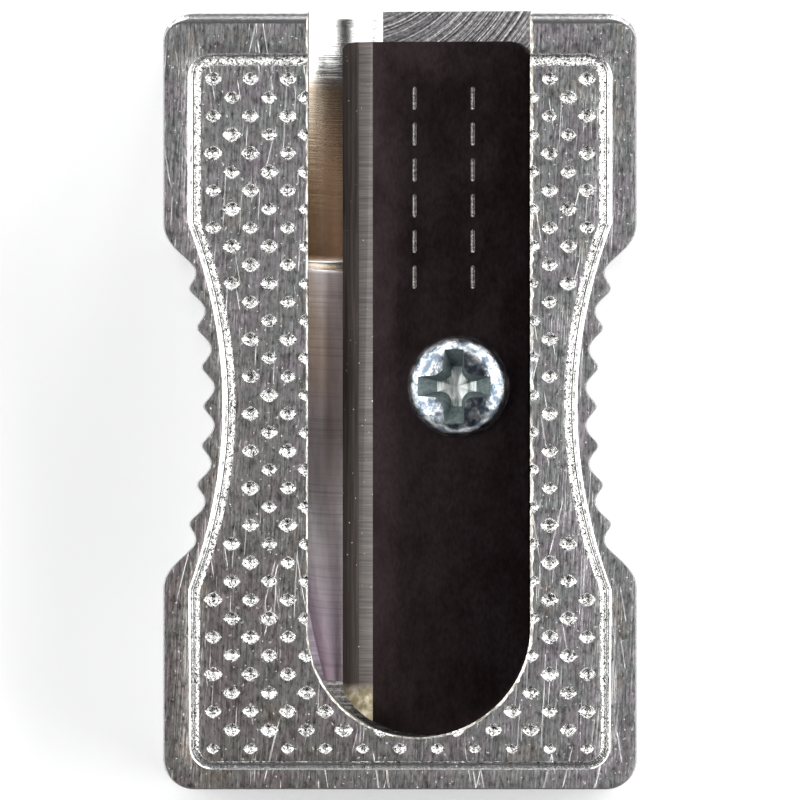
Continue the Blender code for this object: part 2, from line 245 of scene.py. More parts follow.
class Shape:
    """A mesh under construction: points, and faces with a material slot and a shading each."""

    def __init__(self):
        self.points = []
        self.faces = []
        self.slots = []
        self.smooth = []

    def ring(self, points):
        """Add points, and return their indices."""
        first = len(self.points)
        self.points.extend(tuple(point) for point in points)
        return list(range(first, len(self.points)))

    def face(self, corners, slot=0, smooth=True):
        """Add one face."""
        self.faces.append(tuple(corners))
        self.slots.append(slot)
        self.smooth.append(smooth)

    def bridge(self, low, high, slot=0):
        """Join two closed rings. The slot may be a function of the place along them."""
        for i, corner in enumerate(low):
            after = (i + 1) % len(low)
            here = slot(i) if callable(slot) else slot
            self.face((corner, low[after], high[after], high[i]), here)

    def fan(self, ring, point, slot=0):
        """Close a ring with a point."""
        tip = self.ring([point])[0]
        for i, corner in enumerate(ring):
            self.face((corner, ring[(i + 1) % len(ring)], tip), slot)

    def tube(self, rings, slot=0):
        """Join each closed ring to the next."""
        for low, high in zip(rings, rings[1:]):
            self.bridge(low, high, slot)

    def loft(self, rings):
        """A closed solid through equal rings of points, from its lower cap to its upper one."""
        loops = [self.ring(points) for points in rings]
        self.tube(loops)
        self.face(reversed(loops[0]))
        self.face(loops[-1])

    def object(self, name, matrix, materials):
        """The finished object."""
        mesh = bpy.data.meshes.new(name)
        mesh.from_pydata(self.points, [], self.faces)
        mesh.polygons.foreach_set("material_index", self.slots)
        mesh.polygons.foreach_set("use_smooth", self.smooth)
        for surface in materials:
            mesh.materials.append(surface)
        outwards = bmesh.new()
        outwards.from_mesh(mesh)
        bmesh.ops.recalc_face_normals(outwards, faces=outwards.faces)
        outwards.to_mesh(mesh)
        outwards.free()
        result = linked(name, mesh)
        result.matrix_world = matrix
        return result


def carve(obj, cutters, sharp_angle):
    """Cut an object with others. The result is its mesh, in the shared frame's own metres."""
    for cutter in cutters:
        modifier = obj.modifiers.new(cutter.name, "BOOLEAN")
        modifier.operation = "DIFFERENCE"
        modifier.solver = "EXACT"
        modifier.material_mode = "TRANSFER"
        modifier.object = cutter
    bpy.context.view_layer.update()
    evaluated = obj.evaluated_get(bpy.context.evaluated_depsgraph_get())
    result = bpy.data.meshes.new_from_object(evaluated)
    obj.modifiers.clear()
    obj.data = result
    for cutter in cutters:
        bpy.data.objects.remove(cutter, do_unlink=True)
    result.set_sharp_from_angle(angle=math.radians(sharp_angle))
    result.transform(obj.matrix_world)
    obj.matrix_world = Matrix.Identity(4)
    return obj


def arc(centre, radius, start, end, steps):
    """Points of a circle's arc between two angles in degrees, each with its direction out."""
    result = []
    for i in range(steps + 1):
        angle = math.radians(start + (end - start) * i / steps)
        out = (math.cos(angle), math.sin(angle))
        result.append(((centre[0] + radius * out[0], centre[1] + radius * out[1]), out))
    return result


def rounded_outline(half_width, stations, front, rear, radius, corner_steps):
    """Closed outline, anticlockwise, alike on both sides: points with their directions out."""
    corner = half_width(front) - radius
    right = arc((corner, rear + radius), radius, -90, 0, corner_steps)
    right += [((half_width(y), y), (1, 0)) for y in stations]
    right += arc((corner, front - radius), radius, 0, 90, corner_steps)
    return right + [((-x, y), (-dx, dy)) for (x, y), (dx, dy) in reversed(right)]


def densified(outline, step):
    """An outline with points added so that no two are further apart than a step."""
    result = []
    for i, (here, out) in enumerate(outline):
        there, after = outline[(i + 1) % len(outline)]
        pieces = max(1, math.ceil(math.dist(here, there) / step))
        for k in range(pieces):
            share = k / pieces
            point = Vector(here).lerp(Vector(there), share)
            direction = Vector(out).lerp(Vector(after), share).normalized()
            result.append((tuple(point), tuple(direction)))
    return result


def moved(outline, distance, height):
    """An outline's points, moved out and lifted by what two functions give for each."""
    return [(x + dx * distance((x, y), (dx, dy)), y + dy * distance((x, y), (dx, dy)),
             height((x, y), (dx, dy))) for (x, y), (dx, dy) in outline]


# ---- body

def body_half_width(y):
    """Half the body's width: a shallow arc of upright ribs between two full-width ends."""
    along = abs(y - WAIST_CENTRE)
    on_ribs = min(along, RIBBED_REACH)
    wave = math.hypot(math.sin(math.pi * on_ribs / RIB_PITCH), RIB_SOFTNESS) - RIB_SOFTNESS
    rib = wave / (math.hypot(1, RIB_SOFTNESS) - RIB_SOFTNESS)
    depth = WAIST_DEPTH - on_ribs ** 2 / (2 * WAIST_RADIUS) + RIB_HEIGHT * rib
    shoulder = min((along - on_ribs) / SHOULDER_LENGTH, 1)
    return WIDTH / 2 - depth * (1 - shoulder ** 1.5) ** 3


def waist_stations(reach, count):
    """Even places along y, to a reach on both sides of the waist's centre."""
    return [WAIST_CENTRE + reach * (2 * i / count - 1) for i in range(count + 1)]


def body_outline():
    """The block's outline, with points close enough for smooth ribs."""
    stations = waist_stations(RIBBED_REACH + SHOULDER_LENGTH, 150)
    return rounded_outline(body_half_width, stations, LENGTH / 2, -LENGTH / 2, CORNER_RADIUS, 12)


def underside(y):
    """Height of the underside, which runs parallel to the pencil's axis."""
    axis = -EDGE_DEPTH - (y - CONE_POINT_Y) * math.tan(CONE_HALF_ANGLE)
    return axis - AXIS_HEIGHT / math.cos(CONE_HALF_ANGLE)


def top_edge(out):
    """Radius of the deck's edge where it faces that way: larger along the front."""
    return SIDE_EDGE + (FRONT_EDGE - SIDE_EDGE) * max(out[1], 0) ** 2


def add_walls(shape, outline):
    """The block's sides with round edges above and below. Returns the ring at the deck."""
    steps = 5
    rings = []
    for k in range(steps, -1, -1):
        turn = math.pi / 2 * k / steps
        rings.append(shape.ring(moved(
            outline,
            lambda at, out: -UNDER_EDGE * (1 - math.cos(turn)),
            lambda at, out: (underside(at[1] - out[1] * UNDER_EDGE * (1 - math.cos(turn)))
                             + UNDER_EDGE * (1 - math.sin(turn))))))
    for k in range(steps + 1):
        turn = math.pi / 2 * k / steps
        rings.append(shape.ring(moved(
            outline,
            lambda at, out: -top_edge(out) * (1 - math.cos(turn)),
            lambda at, out: -top_edge(out) * (1 - math.sin(turn)))))
    for row, (low, high) in enumerate(zip(rings, rings[1:])):
        bright = row > steps
        shape.bridge(low, high, lambda i: 3 if bright and outline[i][1][1] > 0.6 else 1)
    shape.face(reversed(rings[0]), slot=1, smooth=False)
    return rings[-1]


def groove_half_width(y):
    """Half the width inside the border groove, whose waist is one plain arc."""
    depth = GROOVE_WAIST_DEPTH - (y - WAIST_CENTRE) ** 2 / (2 * WAIST_RADIUS)
    return GROOVE_SIDE - max(depth, 0)


def groove_width(y):
    """The groove's width, which narrows towards the rear."""
    share = min((y - GROOVE_REAR) / GROOVE_TAPER_LENGTH, 1)
    return GROOVE_REAR_WIDTH + (GROOVE_WIDTH - GROOVE_REAR_WIDTH) * share


def tooth_marks(length, seed):
    """Irregular marks along a line of that length: a function from place to height, 0 to 1."""
    draw = random.Random(seed)
    count = math.ceil(length / TOOTH_LENGTH) + 2
    places = [(i + draw.uniform(-0.4, 0.4)) * TOOTH_LENGTH for i in range(count)]
    heights = [draw.choice((draw.uniform(0, 0.3), draw.uniform(0.4, 1))) for i in range(count)]
    return lambda place: float(np.interp(place, places, heights))


def groove_outline():
    """The groove's centre line."""
    reach = math.sqrt(2 * WAIST_RADIUS * GROOVE_WAIST_DEPTH)
    return rounded_outline(groove_half_width, waist_stations(reach, 40), GROOVE_FRONT,
                           GROOVE_REAR, GROOVE_CORNER, 10)


def add_groove(shape):
    """The border groove, with tooth marks up its inner wall. Returns its two edge rings."""
    outline = densified(groove_outline(), GROOVE_STEP)
    places = np.cumsum([0] + [math.dist(a[0], b[0]) for a, b in zip(outline, outline[1:])])
    rings = []
    for row, (across, down, toothed) in enumerate(GROOVE_SECTION):
        marks = tooth_marks(places[-1], 11 + row // 2)
        points = []
        for ((x, y), (dx, dy)), place in zip(outline, places):
            tooth = TOOTH_HEIGHT * toothed * marks(place)
            distance = (across + GROOVE_LEAN * dy * (1 - abs(2 * across))) * groove_width(y)
            points.append((x + dx * distance, y + dy * distance, tooth - GROOVE_DEPTH * down))
        rings.append(shape.ring(points))
    for row, (outer, inner) in enumerate(zip(rings, rings[1:])):
        shape.bridge(outer, inner, slot=3 if row < GROOVE_SMOOTH_ROWS else 2)
    return rings[0], rings[-1]


def pocket_left(height):
    """The pocket's left wall at a height above the seat. The wall is square to the deck."""
    return POCKET_LEFT + (height - LEFT_WALL_HEIGHT) * math.tan(SEAT_TILT)


def across_pocket(side):
    """The place across the seat, for a side from -1 at the left wall to 1 at the right."""
    return (POCKET_RIGHT + pocket_left(0)) / 2 + side * (POCKET_RIGHT - pocket_left(0)) / 2


def on_wall(side, y, level):
    """The pocket's wall at a level in the deck's frame."""
    foot = across_pocket(side)
    lean = math.tan(SEAT_TILT) * (1 - side) / 2
    rise = EDGE_DEPTH + level - foot * math.sin(SEAT_TILT)
    height = rise / (math.cos(SEAT_TILT) + lean * math.sin(SEAT_TILT))
    return SEAT_IN_DECK @ Vector((foot + lean * height, y, height))


def in_pocket(x, y, margin):
    """True well inside the pocket's opening."""
    left = on_wall(-1, 0, 0).x + margin
    right = on_wall(1, 0, 0).x - margin
    if y > POCKET_END_Y:
        return left < x < right
    return math.hypot(x - (left + right) / 2, y - POCKET_END_Y) < (right - left) / 2


def dimple_centres():
    """Centres of the dimples, and the room that each has beside the border groove."""
    result = []
    for row in range(DIMPLE_ROWS):
        y = DIMPLE_FRONT_ROW - row * DIMPLE_ROW_STEP
        shift = (row % 2) / 2
        reach = groove_half_width(y) - DIMPLE_MARGIN
        first = math.ceil(-reach / DIMPLE_PITCH - shift)
        last = math.floor(reach / DIMPLE_PITCH - shift)
        for column in range(first, last + 1):
            x = (column + shift) * DIMPLE_PITCH
            if not in_pocket(x, y, DIMPLE_HALF_WIDTH * 1.3):
                room = groove_half_width(y) - abs(x) - groove_width(y) / 2
                result.append((x, y, room))
    return result


def diamond(angle):
    """Radius of a rounded diamond of unit size."""
    power = DIMPLE_SQUARENESS
    total = abs(math.cos(angle)) ** power + abs(math.sin(angle)) ** power
    return total ** (-1 / power)


def add_dimples(shape):
    """The dimples, each pressed a little differently. Returns their edge rings."""
    draw = random.Random(5)
    edges = []
    gap = 0.01
    widest = DIMPLE_HALF_WIDTH * DIMPLE_PROFILE[0][0]
    before_last_row = DIMPLE_FRONT_ROW - (DIMPLE_ROWS - 1.5) * DIMPLE_ROW_STEP
    for x, y, room in dimple_centres():
        size = min(draw.uniform(0.88, 1.06), (room - gap) / widest)
        if y < before_last_row:
            size *= REAR_DIMPLE_SIZE
        depth = DIMPLE_DEPTH * size * draw.uniform(0.85, 1.1)
        lip = draw.uniform(0, 1.2)
        skew = (draw.uniform(-0.04, 0.04), draw.uniform(0.0, 0.06))
        wobble = [draw.uniform(0.90, 1.10) for i in range(DIMPLE_SIDES)]
        rings = []
        for share, down in DIMPLE_PROFILE:
            drop = depth * down * (lip if down < 0 else 1)
            slide = max(down, 0)
            points = []
            for i in range(DIMPLE_SIDES):
                angle = 2 * math.pi * i / DIMPLE_SIDES
                reach = share * size * diamond(angle)
                if share < 1:
                    reach *= wobble[i] * draw.uniform(0.95, 1.05)
                points.append((x + reach * DIMPLE_HALF_WIDTH * math.cos(angle) + skew[0] * slide,
                               y + reach * DIMPLE_HALF_LENGTH * math.sin(angle) + skew[1] * slide,
                               -drop))
            rings.append(shape.ring(points))
        shape.tube(rings, slot=2)
        shape.fan(rings[-1], (x + skew[0], y + skew[1], -depth), slot=2)
        edges.append(rings[0])
    return edges


def add_deck(shape, rim, groove_outer, groove_inner, dimples):
    """The flat of the deck, between the rim, the groove and the dimples."""
    loops = [rim, groove_outer, groove_inner] + dimples
    indices = [index for loop in loops for index in loop]
    flat = [Vector(shape.points[index][:2]) for index in indices]
    starts = np.cumsum([0] + [len(loop) for loop in loops])
    polygons = [list(range(start, start + len(loop))) for start, loop in zip(starts, loops)]
    found = delaunay_2d_cdt(flat, [], polygons, 1, 1e-6, True)
    source = [indices[origins[0]] for origins in found[3]]
    for corners, inside in zip(found[2], found[5]):
        within = set(inside)
        on_rim = within == {0}
        on_field = within == {0, 1, 2}
        if on_rim or on_field:
            shape.face([source[corner] for corner in corners], smooth=False)


def pocket_outline():
    """The pocket's outline, open at the front: (side from -1 to 1, y) with directions out."""
    front = LENGTH / 2 + CLEAR
    end = [((x, POCKET_END_Y + y * POCKET_RADIUS), out)
           for (x, y), out in arc((0, 0), 1, 180, 360, 96)]
    straight = front - POCKET_END_Y
    steps = round(straight / POCKET_STEP)
    right = [((1, POCKET_END_Y + straight * i / steps), (1, 0)) for i in range(1, steps + 1)]
    return right + [((-x, y), (-1, 0)) for (x, y), out in reversed(right)] + end


def pocket_breaks(outline):
    """How far the pocket's top edge is broken: more along the right, and nicked all round."""
    nicks = tooth_marks(len(outline) * POCKET_STEP, 31)
    result = []
    for i, (at, out) in enumerate(outline):
        right = max(out[0], 0) ** 2
        width = POCKET_LEFT_BREAK + (POCKET_RIGHT_BREAK - POCKET_LEFT_BREAK) * right
        result.append(width + POCKET_NICK * (0.3 + 0.7 * right) * nicks(i * POCKET_STEP))
    return result


def pocket_cutter(wall):
    """The blade's pocket, with a broken top edge."""
    outline = pocket_outline()
    breaks = pocket_breaks(outline)
    floor, rim, flare = [], [], []
    for ((side, y), out), edge in zip(outline, breaks):
        floor.append(SEAT_IN_DECK @ Vector((across_pocket(side), y, 0)))
        point = on_wall(side, y, -edge)
        rim.append(point)
        rise = CLEAR + edge
        flare.append((point.x + out[0] * rise, point.y + out[1] * rise, CLEAR))
    shape = Shape()
    loops = [shape.ring(points) for points in (floor, rim, flare)]
    shape.face(reversed(loops[0]), smooth=False)
    shape.bridge(loops[0], loops[1], 1)
    shape.bridge(loops[1], loops[2], 2)
    shape.face(loops[2], 1)
    return shape.object("pocket_cutter", DECK, [seat_material(), wall, edge_material()])


def chip_slot_outline(height):
    """The chip slot's outline at a height above the seat."""
    front = LENGTH / 2 + CLEAR
    middle = (POCKET_RIGHT + pocket_left(height)) / 2
    across = (POCKET_RIGHT - pocket_left(height)) / 2 - SEAT_GAP
    wall = [(middle + x * across, POCKET_END_Y + y * (POCKET_RADIUS - SEAT_GAP))
            for (x, y), out in arc((0, 0), 1, 180, 270, 64)]
    outline = [(CHIP_SLOT_RIGHT, front), (wall[0][0], front)]
    outline += [point for point in wall if point[1] > CHIP_SLOT_REAR]
    return outline + [(outline[-1][0] + SEAT_GAP, CHIP_SLOT_REAR),
                      (CHIP_SLOT_RIGHT, CHIP_SLOT_REAR)]


def chip_slot_cutter():
    """The slot that lets shavings out past the cutting edge, deeper towards the mouth."""
    slope = (CHIP_SLOT_FRONT_DEPTH - CHIP_SLOT_REAR_DEPTH) / (LENGTH / 2 - CHIP_SLOT_REAR)
    floor = [(x, y, -CHIP_SLOT_REAR_DEPTH - (y - CHIP_SLOT_REAR) * slope)
             for x, y in chip_slot_outline(-CHIP_SLOT_FRONT_DEPTH)]
    shape = Shape()
    shape.loft([floor, [(x, y, BLADE_THICKNESS) for x, y in chip_slot_outline(BLADE_THICKNESS)]])
    return shape.object("chip_slot_cutter", SEAT, [slot_material()])


def turned_rings(profile, sides):
    """Rings about z. The profile is (height, radius or function of the angle)."""
    rings = []
    for height, radius in profile:
        angles = [2 * math.pi * i / sides for i in range(sides)]
        radii = [radius(a) if callable(radius) else radius for a in angles]
        rings.append([(r * math.cos(a), r * math.sin(a), height) for a, r in zip(angles, radii)])
    return rings


def tool_marked(start, end, radius, seed):
    """Profile rows of a bored surface with faint tool marks."""
    draw = random.Random(seed)
    count = round((end - start) / TOOL_MARK_STEP)
    rows = []
    for i in range(1, count):
        along = start + (end - start) * (i + draw.uniform(-0.3, 0.3)) / count
        rows.append((along, radius(along) + draw.uniform(-0.5, 0.5) * TOOL_MARK_HEIGHT))
    return rows


def guide_cutter():
    """The pencil's guide: point, cone, drilled step, parallel bore and flared mouth."""
    slope = math.tan(CONE_HALF_ANGLE)
    mouth_end = MOUTH_START + LENGTH / 4
    flare = math.tan(MOUTH_FLARE)
    step = GUIDE_RADIUS - CONE_END * slope
    profile = [(TIP_START, TIP_RADIUS), (TIP_END, TIP_END * slope)]
    profile += tool_marked(TIP_END, CONE_END, lambda along: along * slope, 21)
    steps = 10
    for i in range(steps + 1):
        share = i / steps
        profile.append((CONE_END + share * (GUIDE_START - CONE_END),
                        GUIDE_RADIUS - step * (1 - share ** 2 * (3 - 2 * share))))
    profile += tool_marked(GUIDE_START, MOUTH_START - MOUTH_ROUNDING,
                           lambda along: GUIDE_RADIUS, 22)
    for i in range(steps + 1):
        past = 2 * MOUTH_ROUNDING * i / steps
        profile.append((MOUTH_START - MOUTH_ROUNDING + past,
                        GUIDE_RADIUS + flare * past ** 2 / (4 * MOUTH_ROUNDING)))
    profile += [(mouth_end, GUIDE_RADIUS + (mouth_end - MOUTH_START) * flare)]
    place = Matrix.Translation((EDGE_X, CONE_POINT_Y, -EDGE_DEPTH))
    turn = Matrix.Rotation(-math.pi / 2 - CONE_HALF_ANGLE, 4, "X")
    shape = Shape()
    shape.loft(turned_rings(profile, sides=128))
    return shape.object("guide_cutter", DECK @ place @ turn, [bore_material()])


def thread_rows(low, high, root, crest, rows_per_pitch):
    """Profile rows of a right-hand thread, running out to the root at both ends."""
    rows = []
    count = round((high - low) / THREAD_PITCH * rows_per_pitch)
    for i in range(count + 1):
        height = low + (high - low) * i / count
        run_out = min(1, (height - low) / THREAD_PITCH, (high - height) / THREAD_PITCH)

        def radius(angle, height=height, run_out=run_out):
            turn = (height / THREAD_PITCH - angle / (2 * math.pi)) % 1
            return root + (crest - root) * (1 - abs(2 * turn - 1)) * run_out

        rows.append((height, radius))
    return rows


def screw_hole_cutter(wall):
    """The tapped hole, with the screw's own thread and a little clearance."""
    crest = THREAD_RADIUS + THREAD_CLEARANCE
    root = THREAD_ROOT + THREAD_CLEARANCE
    low = -THREAD_LENGTH - THREAD_PITCH / 2
    profile = [(-HOLE_DEPTH, root / 2), (-HOLE_DEPTH + root / 2, root)]
    profile += thread_rows(low, CLEAR / 2, root, crest, rows_per_pitch=6)
    profile += [(CLEAR, root)]
    shape = Shape()
    shape.loft(turned_rings(profile, sides=32))
    return shape.object("screw_hole_cutter", AXIS, [wall])


def make_body():
    """The metal body."""
    shape = Shape()
    rim = add_walls(shape, body_outline())
    groove_outer, groove_inner = add_groove(shape)
    dimples = add_dimples(shape)
    add_deck(shape, rim, groove_outer, groove_inner, dimples)
    body = shape.object("sharpener_body", DECK, [deck_material(), side_material(),
                                                 pressed_material(), smooth_material()])
    wall = cut_material()
    cutters = [pocket_cutter(wall), chip_slot_cutter(), guide_cutter(), screw_hole_cutter(wall)]
    return carve(body, cutters, sharp_angle=34)


# ---- blade

def blade_outline():
    """The blade's outline in the seat's frame: round rear end, one round front corner."""
    left = -BLADE_THICKNESS / 2
    radius = POCKET_RADIUS - POCKET_CLEARANCE
    start = math.degrees(math.acos((left - POCKET_MIDDLE) / radius))
    outline = arc((POCKET_MIDDLE, POCKET_END_Y), radius, 360 - start, 360, 64)
    outline += arc((BLADE_WIDTH - BLADE_CORNER, BLADE_FRONT - BLADE_CORNER), BLADE_CORNER,
                   0, 90, 14)
    return outline + [((BLADE_TIP_CORNER, BLADE_FRONT), (0, 1)),
                      ((BLADE_TIP_CORNER / 3, BLADE_FRONT - BLADE_TIP_CORNER / 12), (0, 1)),
                      ((0, BLADE_FRONT - BLADE_TIP_CORNER / 3), (-1, 1)),
                      ((left, BLADE_FRONT - BLADE_TIP_CORNER), (-1, 0))]


def bevel_cutter():
    """The wedge that grinds the two facets of the cutting edge."""
    past = BLADE_THICKNESS
    honed_slope = HONED_HEIGHT / HONED_WIDTH
    ground_slope = (BLADE_THICKNESS - HONED_HEIGHT) / (BEVEL_WIDTH - HONED_WIDTH)
    section = [
        (-past, -past * honed_slope),
        (HONED_WIDTH, HONED_HEIGHT),
        (BEVEL_WIDTH + past, BLADE_THICKNESS + past * ground_slope),
        (-past, 3 * past),
    ]
    shape = Shape()
    near, far = [shape.ring([(x, y, z + SEAT_GAP) for x, z in section])
                 for y in (LENGTH, -LENGTH)]
    for i, slot in enumerate((0, 1, 1, 1)):
        after = (i + 1) % len(section)
        shape.face((near[i], far[i], far[after], near[after]), slot, smooth=False)
    shape.face(near, 1, smooth=False)
    shape.face(reversed(far), 1, smooth=False)
    honed = facet_material("honed_steel", (0.045, 0.038, 0.036), (0.095, 0.082, 0.078), True, 0.30)
    ground = facet_material("ground_steel", (0.08, 0.073, 0.070), (0.15, 0.14, 0.135), False, 0.34)
    return shape.object("bevel_cutter", SEAT, [honed, ground])


def blade_hole_cutter(steel):
    """The screw's clearance hole."""
    profile = [(-CLEAR, BLADE_HOLE_RADIUS), (BLADE_THICKNESS + CLEAR, BLADE_HOLE_RADIUS)]
    shape = Shape()
    shape.loft(turned_rings(profile, sides=64))
    return shape.object("blade_hole_cutter", AXIS, [steel])


def dash_cutter():
    """Two columns of plain engraved dashes."""
    top = SEAT_GAP + BLADE_THICKNESS
    # Height above the blade's face, and share of the dash's width there
    section = ((-DASH_DEPTH, 0.25), (-DASH_DEPTH / 2, 0.8), (0, 1.0), (0.1, 1.2))
    shape = Shape()
    for x in DASH_COLUMNS:
        for row in range(DASH_COUNT):
            y = DASH_FRONT - row * DASH_PITCH
            rings = []
            for height, share in section:
                half = share * DASH_WIDTH / 2
                reach = DASH_LENGTH / 2 - DASH_WIDTH / 2
                ends = arc((x, y + reach), half, 0, 180, 8)
                ends += arc((x, y - reach), half, 180, 360, 8)
                rings.append([(px, py, top + height) for (px, py), out in ends])
            shape.loft(rings)
    return shape.object("dash_cutter", SEAT, [engraved_material()])


def make_blade():
    """The blade."""
    outline = blade_outline()
    base, top = SEAT_GAP, SEAT_GAP + BLADE_THICKNESS
    levels = ((base, BLADE_EDGE), (base + BLADE_EDGE, 0), (top - BLADE_EDGE, 0),
              (top - BLADE_EDGE * 0.3, BLADE_EDGE * 0.3), (top, BLADE_EDGE))
    shape = Shape()
    loops = [shape.ring(moved(outline, lambda at, out: -inset, lambda at, out: height))
             for height, inset in levels]
    shape.tube(loops)
    shape.face(reversed(loops[0]), 1, smooth=False)
    shape.face(loops[-1], smooth=False)
    steel = blade_material()
    blade = shape.object("sharpener_blade", SEAT, [steel, back_material()])
    return carve(blade, [bevel_cutter(), blade_hole_cutter(steel), dash_cutter()], sharp_angle=30)


# ---- screw

def cross(reach, half_width, corner):
    """A cross with round inner corners, anticlockwise."""
    arm = [(half_width, corner + half_width), (half_width, reach), (-half_width, reach)]
    inner = arc((-half_width - corner, half_width + corner), corner, 0, -90, 6)
    quarter = arm[1:] + [point for point, out in inner]
    points = []
    for k in range(4):
        turn = Matrix.Rotation(k * math.pi / 2, 2)
        points += [tuple(turn @ Vector(point)) for point in quarter]
    return points


def recess_cutter():
    """The tapered cross recess in the screw's head."""
    top = UNDER_HEAD + HEAD_HEIGHT
    floor = top - RECESS_DEPTH
    grown = 1 + CLEAR / RECESS_DEPTH

    def widened(low, high):
        return low + (high - low) * grown

    shape = Shape()
    lower = shape.ring([(x, y, floor) for x, y in
                        cross(RECESS_FLOOR_REACH, RECESS_FLOOR_HALF_WIDTH, RECESS_FLOOR_CORNER)])
    upper = shape.ring([(x, y, top + CLEAR) for x, y in
                        cross(widened(RECESS_FLOOR_REACH, RECESS_REACH),
                              widened(RECESS_FLOOR_HALF_WIDTH, RECESS_HALF_WIDTH),
                              widened(RECESS_FLOOR_CORNER, RECESS_CORNER))])
    shape.bridge(lower, upper)
    tip = shape.ring([(0, 0, floor - RECESS_FLOOR_DIP)])[0]
    for i, corner in enumerate(lower):
        shape.face((lower[(i + 1) % len(lower)], corner, tip), 1, smooth=False)
    shape.face(upper)
    return shape.object("recess_cutter", AXIS, [recess_material(), recess_floor_material()])


def head_rows():
    """Profile rows of the pan head."""
    rows = [(UNDER_HEAD, THREAD_ROOT), (UNDER_HEAD, HEAD_RADIUS - HEAD_FOOT),
            (UNDER_HEAD + HEAD_FOOT, HEAD_RADIUS)]
    dome = HEAD_HEIGHT - HEAD_SIDE
    steps = 16
    for i in range(steps):
        angle = math.pi / 2 * i / steps
        height = UNDER_HEAD + HEAD_SIDE + dome * math.sin(angle)
        rows.append((height, (HEAD_RADIUS - HEAD_TAPER) * math.cos(angle) ** HEAD_FULLNESS))
    return rows


def make_screw():
    """The pan-head screw."""
    profile = [(-THREAD_LENGTH - THREAD_PITCH / 2, THREAD_ROOT / 2)]
    profile += thread_rows(-THREAD_LENGTH, THREAD_PITCH / 2, THREAD_ROOT, THREAD_RADIUS,
                           rows_per_pitch=8)
    profile += head_rows()
    shape = Shape()
    loops = [shape.ring(points) for points in turned_rings(profile, sides=96)]
    shape.tube(loops)
    shape.face(reversed(loops[0]))
    shape.fan(loops[-1], (0, 0, UNDER_HEAD + HEAD_HEIGHT))
    screw = shape.object("sharpener_screw", AXIS, [plating_material()])
    return carve(screw, [recess_cutter()], sharp_angle=32)


# ---- materials

class Nodes:
    """A Principled material's node tree, placed in one of the frames."""

    def __init__(self, name, origin=DECK):
        self.material = bpy.data.materials.new(name)
        self.material.use_nodes = True
        self.tree = self.material.node_tree
        self.shader = self.tree.nodes["Principled BSDF"]
        self.shader.inputs["Metallic"].default_value = 1.0
        location, rotation, scale = origin.inverted().decompose()
        placed = self.add("ShaderNodeMapping", vector_type="POINT")
        self.put(placed.inputs["Vector"], self.add("ShaderNodeTexCoord").outputs["Object"])
        placed.inputs["Location"].default_value = location
        placed.inputs["Rotation"].default_value = rotation.to_euler()
        placed.inputs["Scale"].default_value = scale
        self.place = placed.outputs["Vector"]

    def add(self, kind, **settings):
        """A new node with some of its properties set."""
        node = self.tree.nodes.new(kind)
        for key, value in settings.items():
            setattr(node, key, value)
        return node

    def put(self, socket, value):
        """Set an input, or link an output to it."""
        if isinstance(value, bpy.types.NodeSocket):
            self.tree.links.new(value, socket)
        else:
            socket.default_value = value

    def mapped(self, scale=(1, 1, 1), turn=(0, 0, 0), source=None):
        """The frame's coordinates, in millimetres, turned by angles in degrees and then scaled."""
        node = self.add("ShaderNodeMapping", vector_type="POINT")
        turned = self.add("ShaderNodeMapping", vector_type="POINT")
        self.put(turned.inputs["Vector"], source or self.place)
        turned.inputs["Rotation"].default_value = [math.radians(angle) for angle in turn]
        self.put(node.inputs["Vector"], turned.outputs["Vector"])
        node.inputs["Scale"].default_value = scale
        return node.outputs["Vector"]

    def noise(self, place, scale, detail=4, roughness=0.6):
        """Noise from 0 to 1."""
        node = self.add("ShaderNodeTexNoise")
        self.put(node.inputs["Vector"], place)
        node.inputs["Scale"].default_value = scale
        node.inputs["Detail"].default_value = detail
        node.inputs["Roughness"].default_value = roughness
        return node.outputs["Fac"]

    def split(self, place):
        """A place's x, y and z."""
        node = self.add("ShaderNodeSeparateXYZ")
        self.put(node.inputs[0], place)
        return node.outputs

    def ramp(self, value, *stops):
        """A smooth ramp: stops are (place, grey or colour)."""
        node = self.add("ShaderNodeValToRGB")
        self.put(node.inputs["Fac"], value)
        elements = node.color_ramp.elements
        while len(elements) < len(stops):
            elements.new(0.5)
        for element, (place, colour) in zip(elements, stops):
            element.position = place
            grey = isinstance(colour, (int, float))
            element.color = (colour,) * 3 + (1,) if grey else (*colour, 1)
        return node.outputs["Color"]

    def math(self, operation, first, second=0.0, third=0.0):
        """A sum, product and so on."""
        node = self.add("ShaderNodeMath", operation=operation)
        self.put(node.inputs[0], first)
        self.put(node.inputs[1], second)
        self.put(node.inputs[2], third)
        return node.outputs[0]

    def mix(self, share, first, second, blend="MIX"):
        """A mix of two colours."""
        node = self.add("ShaderNodeMix", data_type="RGBA", blend_type=blend)
        self.put(node.inputs[0], share)
        for socket, value in ((node.inputs[6], first), (node.inputs[7], second)):
            self.put(socket, (*value, 1) if isinstance(value, tuple) else value)
        return node.outputs[2]

    def times(self, colour, factor, share=1.0):
        """A colour multiplied by another, wholly or in part."""
        return self.mix(share, colour, factor, "MULTIPLY")

    def bump(self, height, depth):
        """Bumps of that depth, in millimetres."""
        node = self.add("ShaderNodeBump")
        self.put(node.inputs["Height"], height)
        node.inputs["Distance"].default_value = depth * MM
        return node.outputs["Normal"]

    def finish(self, colour, roughness, normal=None):
        """Connect the shader, and return the material."""
        colour = (*colour, 1) if isinstance(colour, tuple) else colour
        self.put(self.shader.inputs["Base Color"], colour)
        self.put(self.shader.inputs["Roughness"], roughness)
        if normal is not None:
            self.put(self.shader.inputs["Normal"], normal)
        return self.material


